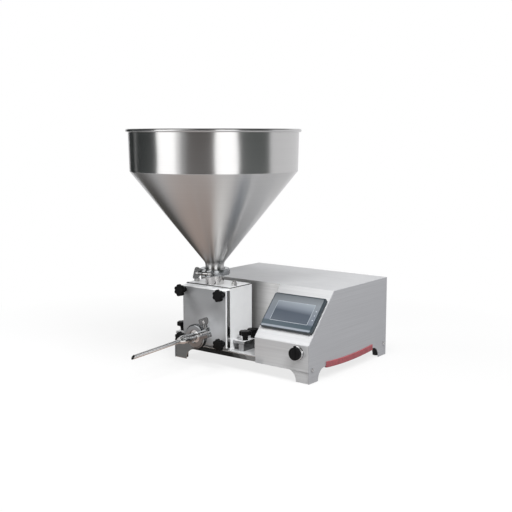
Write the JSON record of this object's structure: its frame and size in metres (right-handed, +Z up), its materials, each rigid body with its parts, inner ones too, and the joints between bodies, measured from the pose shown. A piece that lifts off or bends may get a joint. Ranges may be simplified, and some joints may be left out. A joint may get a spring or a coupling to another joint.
{
  "type": "paste filling machine",
  "caption": "Bench-top paste filling machine: open conical hopper clamped over a gear pump head on a stainless cabinet with a sloped touch panel console and a long filling needle.",
  "frame": {"origin": "centre of the machine's box, on the floor under its rubber feet", "axes": "+Z up, -Y to the front where the needle points, +X to the console side"},
  "size_m": [0.4294, 0.5028, 0.475],
  "materials": {
    "cabinet_steel": "fine brushed stainless sheet",
    "hopper_steel": "spun and brushed stainless",
    "pump_steel": "satin machined stainless",
    "polished_steel": "polished stainless",
    "fastener_steel": "plain stainless",
    "black_plastic": "moulded black plastic",
    "charcoal_plastic": "fine textured charcoal plastic",
    "screen_film": "glossy grey-blue front sheet",
    "chrome_ring": "bright chrome",
    "black_rubber": "matt rubber",
    "red_rubber": "matt red rubber",
    "white_silicone": "food-grade silicone",
    "rotor_plastic": "machined white plastic",
    "bronze": "sintered bronze",
    "motor_paint": "black paint",
    "aluminium": "plain aluminium"
  },
  "bodies": {
    "machine": {"deck_plate": "cabinet_steel", "base_skirts": "cabinet_steel", "belly_plate": "cabinet_steel", "right_side_panel": "cabinet_steel", "left_side_panel": "cabinet_steel", "hood": "cabinet_steel", "console_panel": "cabinet_steel", "rear_panel": "cabinet_steel", "hopper_bowl": "hopper_steel", "hopper_cone": "hopper_steel", "hopper_neck": "hopper_steel", "pump_body": "pump_steel", "pump_lugs": "pump_steel", "lug_posts": "pump_steel", "inlet_ferrule": "polished_steel", "hopper_clamp_fixed": "polished_steel", "hopper_clamp_free": "polished_steel", "casing_screws": "fastener_steel", "knob_studs": "fastener_steel", "top_bolts": "fastener_steel", "selector_contacts": "black_plastic", "mains_inlet": "black_plastic", "touch_housing": "charcoal_plastic", "touch_screen": "screen_film", "selector_ring": "chrome_ring", "rubber_feet": "black_rubber", "shaft_seals": "black_rubber", "edge_trims": "red_rubber", "cover_seals": "white_silicone", "hopper_gasket": "white_silicone", "shaft_bushes": "bronze", "gear_motor": "motor_paint", "motor_controller": "motor_paint", "drive_tube": "aluminium", "motor_bracket": "aluminium", "power_supply": "aluminium"},
    "drive": {"drive_rotor": "rotor_plastic", "drive_shaft": "fastener_steel"},
    "driven": {"driven_rotor": "rotor_plastic", "driven_shaft": "fastener_steel"},
    "cover": {"pump_cover": "pump_steel", "outlet_ferrule": "polished_steel", "outlet_gasket": "white_silicone", "outlet_clamp_fixed": "polished_steel", "outlet_clamp_free": "polished_steel", "nozzle_body": "polished_steel", "filling_needle": "polished_steel"},
    "selector": {"selector_knob": "black_plastic"},
    "hopper_bolt": {"hopper_swing_bolt": "polished_steel"},
    "hopper_nut": {"hopper_wing_nut": "polished_steel"},
    "outlet_bolt": {"outlet_swing_bolt": "polished_steel"},
    "outlet_nut": {"outlet_wing_nut": "polished_steel"},
    "cover_knob_top_left": {"cover_knob_top_left": "black_plastic"},
    "cover_knob_top_right": {"cover_knob_top_right": "black_plastic"},
    "cover_knob_low_left": {"cover_knob_low_left": "black_plastic"},
    "cover_knob_low_right": {"cover_knob_low_right": "black_plastic"},
    "lug_knob_left_front": {"lug_knob_left_front": "black_plastic"},
    "lug_knob_left_rear": {"lug_knob_left_rear": "black_plastic"},
    "lug_knob_right_front": {"lug_knob_right_front": "black_plastic"},
    "lug_knob_right_rear": {"lug_knob_right_rear": "black_plastic"}
  },
  "joints": [
    {"name": "drive_spin", "type": "hinge", "parent": "machine", "child": "drive", "pos_m": [-0.0178, -0.01359, 0.108], "axis": [0, 1, 0], "continuous": true},
    {"name": "driven_spin", "type": "hinge", "parent": "machine", "child": "driven", "pos_m": [-0.0618, -0.01359, 0.108], "axis": [0, 1, 0], "continuous": true},
    {"name": "cover_off", "type": "slide", "parent": "machine", "child": "cover", "axis": [0, -1, 0], "range_m": [0, 0.06]},
    {"name": "selector_turn", "type": "hinge", "parent": "machine", "child": "selector", "pos_m": [0.1867, -0.0516, 0.058], "axis": [0, -1, 0], "range_deg": [-45, 45]},
    {"name": "cover_knob_top_left_turn", "type": "hinge", "parent": "cover", "child": "cover_knob_top_left", "pos_m": [-0.0908, -0.0576, 0.1499], "axis": [0, -1, 0], "continuous": true},
    {"name": "cover_knob_top_right_turn", "type": "hinge", "parent": "cover", "child": "cover_knob_top_right", "pos_m": [0.0112, -0.0576, 0.1499], "axis": [0, -1, 0], "continuous": true},
    {"name": "cover_knob_low_left_turn", "type": "hinge", "parent": "cover", "child": "cover_knob_low_left", "pos_m": [-0.0908, -0.0576, 0.0509], "axis": [0, -1, 0], "continuous": true},
    {"name": "cover_knob_low_right_turn", "type": "hinge", "parent": "cover", "child": "cover_knob_low_right", "pos_m": [0.0112, -0.0576, 0.0509], "axis": [0, -1, 0], "continuous": true},
    {"name": "lug_knob_left_front_turn", "type": "hinge", "parent": "machine", "child": "lug_knob_left_front", "pos_m": [-0.1193, -0.02409, 0.066], "axis": [0, 0, 1], "continuous": true},
    {"name": "lug_knob_left_rear_turn", "type": "hinge", "parent": "machine", "child": "lug_knob_left_rear", "pos_m": [-0.1193, 0.00191, 0.066], "axis": [0, 0, 1], "continuous": true},
    {"name": "lug_knob_right_front_turn", "type": "hinge", "parent": "machine", "child": "lug_knob_right_front", "pos_m": [0.0397, -0.01409, 0.066], "axis": [0, 0, 1], "continuous": true},
    {"name": "lug_knob_right_rear_turn", "type": "hinge", "parent": "machine", "child": "lug_knob_right_rear", "pos_m": [0.0397, 0.01191, 0.066], "axis": [0, 0, 1], "continuous": true},
    {"name": "hopper_bolt_swing", "type": "hinge", "parent": "machine", "child": "hopper_bolt", "pos_m": [-0.02456, -0.0473, 0.188], "axis": [0, 0, 1], "range_deg": [0, 80]},
    {"name": "hopper_nut_turn", "type": "hinge", "parent": "hopper_bolt", "child": "hopper_nut", "pos_m": [-0.04194, -0.05196, 0.188], "axis": [-0.9659, -0.2588, 0], "continuous": true},
    {"name": "outlet_bolt_swing", "type": "hinge", "parent": "cover", "child": "outlet_bolt", "pos_m": [-0.00974, -0.0716, 0.06918], "axis": [0, 1, 0], "range_deg": [0, 80]},
    {"name": "outlet_nut_turn", "type": "hinge", "parent": "outlet_bolt", "child": "outlet_nut", "pos_m": [-0.01648, -0.0716, 0.08586], "axis": [-0.3746, 0, 0.9272], "continuous": true}
  ],
  "couplings": [
    {"joint": "driven_spin", "follows": "drive_spin", "ratio": -1}
  ]
}
